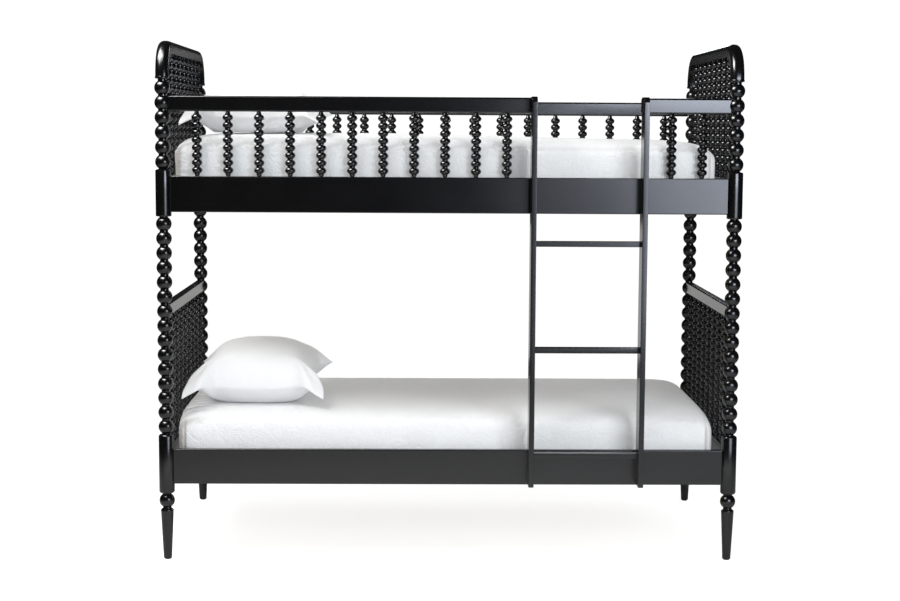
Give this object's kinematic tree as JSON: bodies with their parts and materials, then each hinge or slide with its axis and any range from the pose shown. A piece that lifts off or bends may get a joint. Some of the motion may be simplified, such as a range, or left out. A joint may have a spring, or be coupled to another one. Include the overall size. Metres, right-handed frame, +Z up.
{
  "type": "bunk bed",
  "caption": "Twin-over-twin bunk bed with spool-turned posts and guard spindles, bent end rails, an upright ladder and made-up mattresses with pillows.",
  "frame": {"origin": "on the floor under the middle of the bed's outer size", "axes": "+X along the bed from the pillow end to the foot end, +Y from the ladder side to the wall side, +Z up"},
  "size_m": [2.0424, 1.1232, 1.822],
  "materials": {
    "lacquer": "black satin-gloss lacquer",
    "slat_wood": "plain pine",
    "dowel_wood": "plain beech",
    "bolt_steel": "blackened steel",
    "glide": "matt nylon",
    "cover": "white quilted cotton cover",
    "pillowcase": "white woven cotton"
  },
  "bodies": {
    "lower_bed": {"lower_post_head_front": "lacquer", "lower_post_head_rear": "lacquer", "lower_post_foot_front": "lacquer", "lower_post_foot_rear": "lacquer", "floor_glides": "glide", "stacking_pins": "dowel_wood", "head_lower_top_rail": "lacquer", "head_lower_bottom_rail": "lacquer", "head_lower_spindles": "lacquer", "foot_lower_top_rail": "lacquer", "foot_lower_bottom_rail": "lacquer", "foot_lower_spindles": "lacquer", "lower_side_rail_front": "lacquer", "lower_side_rail_rear": "lacquer", "lower_ledgers": "slat_wood", "lower_slats": "slat_wood", "lower_rail_bolts": "bolt_steel"},
    "upper_bed": {"upper_post_head_front": "lacquer", "upper_post_head_rear": "lacquer", "upper_post_foot_front": "lacquer", "upper_post_foot_rear": "lacquer", "head_bow_rail": "lacquer", "head_upper_bottom_rail": "lacquer", "head_upper_spindles": "lacquer", "foot_bow_rail": "lacquer", "foot_upper_bottom_rail": "lacquer", "foot_upper_spindles": "lacquer", "upper_side_rail_front": "lacquer", "upper_side_rail_rear": "lacquer", "upper_ledgers": "slat_wood", "upper_slats": "slat_wood", "upper_rail_bolts": "bolt_steel", "guard_rail_front_long": "lacquer", "guard_rail_front_short": "lacquer", "guard_rail_rear": "lacquer", "guard_spindles_front_long": "lacquer", "guard_spindles_front_short": "lacquer", "guard_spindles_rear": "lacquer", "ladder_stile_left": "lacquer", "ladder_stile_right": "lacquer", "ladder_rung_1": "lacquer", "ladder_rung_2": "lacquer", "ladder_rung_3": "lacquer", "ladder_bolts": "bolt_steel"},
    "lower_mattress": {"lower_mattress": "cover"},
    "upper_mattress": {"upper_mattress": "cover"},
    "lower_pillow": {"lower_pillow": "pillowcase"},
    "upper_pillow": {"upper_pillow": "pillowcase"}
  },
  "joints": [
    {"name": "upper_bed_lift", "type": "slide", "parent": "lower_bed", "child": "upper_bed", "axis": [0, 0, 1], "range_m": [0, 0.06]},
    {"name": "lower_mattress_lift", "type": "slide", "parent": "lower_bed", "child": "lower_mattress", "axis": [0, 0, 1], "range_m": [0, 0.1]},
    {"name": "upper_mattress_lift", "type": "slide", "parent": "upper_bed", "child": "upper_mattress", "axis": [0, 0, 1], "range_m": [0, 0.36]},
    {"name": "lower_pillow_lift", "type": "slide", "parent": "lower_mattress", "child": "lower_pillow", "axis": [0, 0, 1], "range_m": [0, 0.15]},
    {"name": "upper_pillow_lift", "type": "slide", "parent": "upper_mattress", "child": "upper_pillow", "axis": [0, 0, 1], "range_m": [0, 0.15]}
  ]
}
